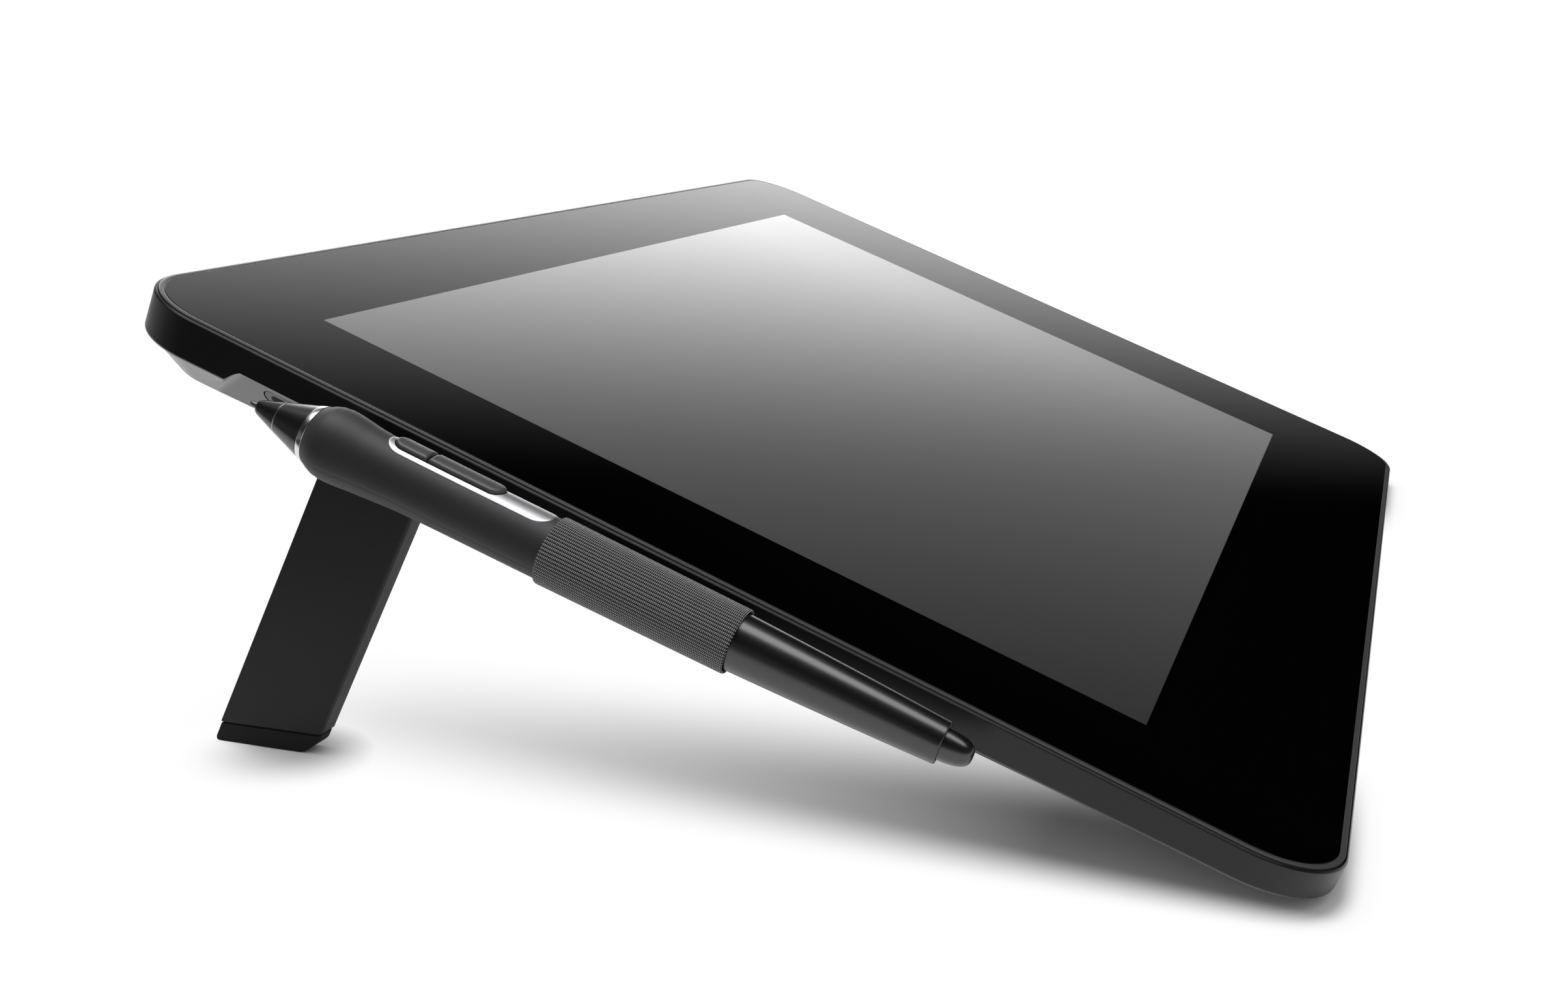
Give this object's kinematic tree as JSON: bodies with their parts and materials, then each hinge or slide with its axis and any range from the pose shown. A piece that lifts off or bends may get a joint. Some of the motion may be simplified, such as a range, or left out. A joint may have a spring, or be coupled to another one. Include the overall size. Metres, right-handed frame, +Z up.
{
  "type": "graphics tablet with screen",
  "caption": "Drawing tablet with a built-in screen, tilted on two fold-out legs, with a button pen held in an elastic loop on its side.",
  "frame": {"origin": "centre of the whole object's box on the floor, with the legs open and the pen in its loop", "axes": "+X along the long side, away from the pen; +Y towards the raised edge; +Z up from the floor"},
  "size_m": [0.4414, 0.2695, 0.1099],
  "materials": {
    "cover_glass": "polished, black behind its border",
    "rim_grey": "satin",
    "casing_black": "fine matte texture",
    "panel_glass": "switched-off panel",
    "guide_acrylic": "clear acrylic sheet",
    "lamp_white": "white lamp strip",
    "tray_metal": "pressed sheet",
    "board_green": "glass-fibre board",
    "chip_black": "moulded chips",
    "shield_steel": "zinc-plated sheet",
    "screw_steel": "blackened",
    "socket_steel": "satin shell",
    "button_black": "satin",
    "light_clear": "clear light pipe",
    "foot_rubber": "matte",
    "leg_black": "fine matte texture",
    "pin_steel": "ground",
    "lock_steel": "satin",
    "loop_elastic": "woven elastic with ribs",
    "anchor_black": "satin",
    "nib_grey": "satin",
    "pen_satin": "satin",
    "ring_chrome": "bright",
    "grip_rubber": "soft matte",
    "plate_silver": "bright satin",
    "switch_grey": "satin",
    "coil_copper": "wound wire"
  },
  "bodies": {
    "casing": {"glass_cover": "cover_glass", "front_rim": "rim_grey", "lcd_panel": "panel_glass", "light_guide": "guide_acrylic", "lamp_strip": "lamp_white", "backlight_tray": "tray_metal", "sensor_board": "board_green", "shield_plate": "shield_steel", "shield_screws": "shield_steel", "main_board": "board_green", "board_chips": "chip_black", "board_screws": "shield_steel", "cable_socket": "socket_steel", "power_switch": "chip_black", "light_pipe": "light_clear", "rear_cover": "casing_black", "cover_screws": "screw_steel", "lock_slot": "lock_steel", "low_feet": "foot_rubber", "high_feet": "foot_rubber", "loop_anchor": "anchor_black", "pen_loop": "loop_elastic", "left_hinge_pin": "pin_steel", "right_hinge_pin": "pin_steel"},
    "left_leg": {"left_leg": "leg_black", "left_leg_foot": "foot_rubber"},
    "right_leg": {"right_leg": "leg_black", "right_leg_foot": "foot_rubber"},
    "power_button": {"power_button": "button_black"},
    "pen": {"pen_cone_tip": "pen_satin", "pen_cone": "pen_satin", "pen_ring": "ring_chrome", "pen_coil": "coil_copper", "pen_force_sensor": "chip_black", "pen_board": "board_green", "pen_grip": "grip_rubber", "pen_switch_plate": "plate_silver", "pen_barrel": "pen_satin"},
    "pen_nib": {"pen_nib": "nib_grey"},
    "pen_eraser": {"pen_eraser": "pen_satin"},
    "pen_front_button": {"pen_front_button": "switch_grey"},
    "pen_rear_button": {"pen_rear_button": "switch_grey"}
  },
  "joints": [
    {"name": "left_leg_fold", "type": "hinge", "parent": "casing", "child": "left_leg", "pos_m": [-0.1828, 0.07625, 0.07147], "axis": [0, -0.9455, -0.3256], "range_deg": [0, 90]},
    {"name": "right_leg_fold", "type": "hinge", "parent": "casing", "child": "right_leg", "pos_m": [0.2022, 0.07625, 0.07147], "axis": [0, 0.9455, 0.3256], "range_deg": [0, 90]},
    {"name": "power_button_press", "type": "slide", "parent": "casing", "child": "power_button", "axis": [0, -0.9336, -0.3584], "range_m": [0, 0.0004], "stiffness_N_per_m": 2500, "springref_m": -0.0002},
    {"name": "pen_slide", "type": "slide", "parent": "casing", "child": "pen", "axis": [0, 0.9383, 0.346], "range_m": [0, 0.095]},
    {"name": "nib_press", "type": "slide", "parent": "pen", "child": "pen_nib", "axis": [0, -0.9383, -0.346], "range_m": [0, 0.0005], "stiffness_N_per_m": 2500, "springref_m": -0.0002},
    {"name": "eraser_press", "type": "slide", "parent": "pen", "child": "pen_eraser", "axis": [0, 0.9383, 0.346], "range_m": [0, 0.0005], "stiffness_N_per_m": 2500, "springref_m": -0.0002},
    {"name": "front_button_press", "type": "slide", "parent": "pen", "child": "pen_front_button", "axis": [0, 0.346, -0.9383], "range_m": [0, 0.0004], "stiffness_N_per_m": 2500, "springref_m": -0.0002},
    {"name": "rear_button_press", "type": "slide", "parent": "pen", "child": "pen_rear_button", "axis": [0, 0.346, -0.9383], "range_m": [0, 0.0004], "stiffness_N_per_m": 2500, "springref_m": -0.0002}
  ]
}
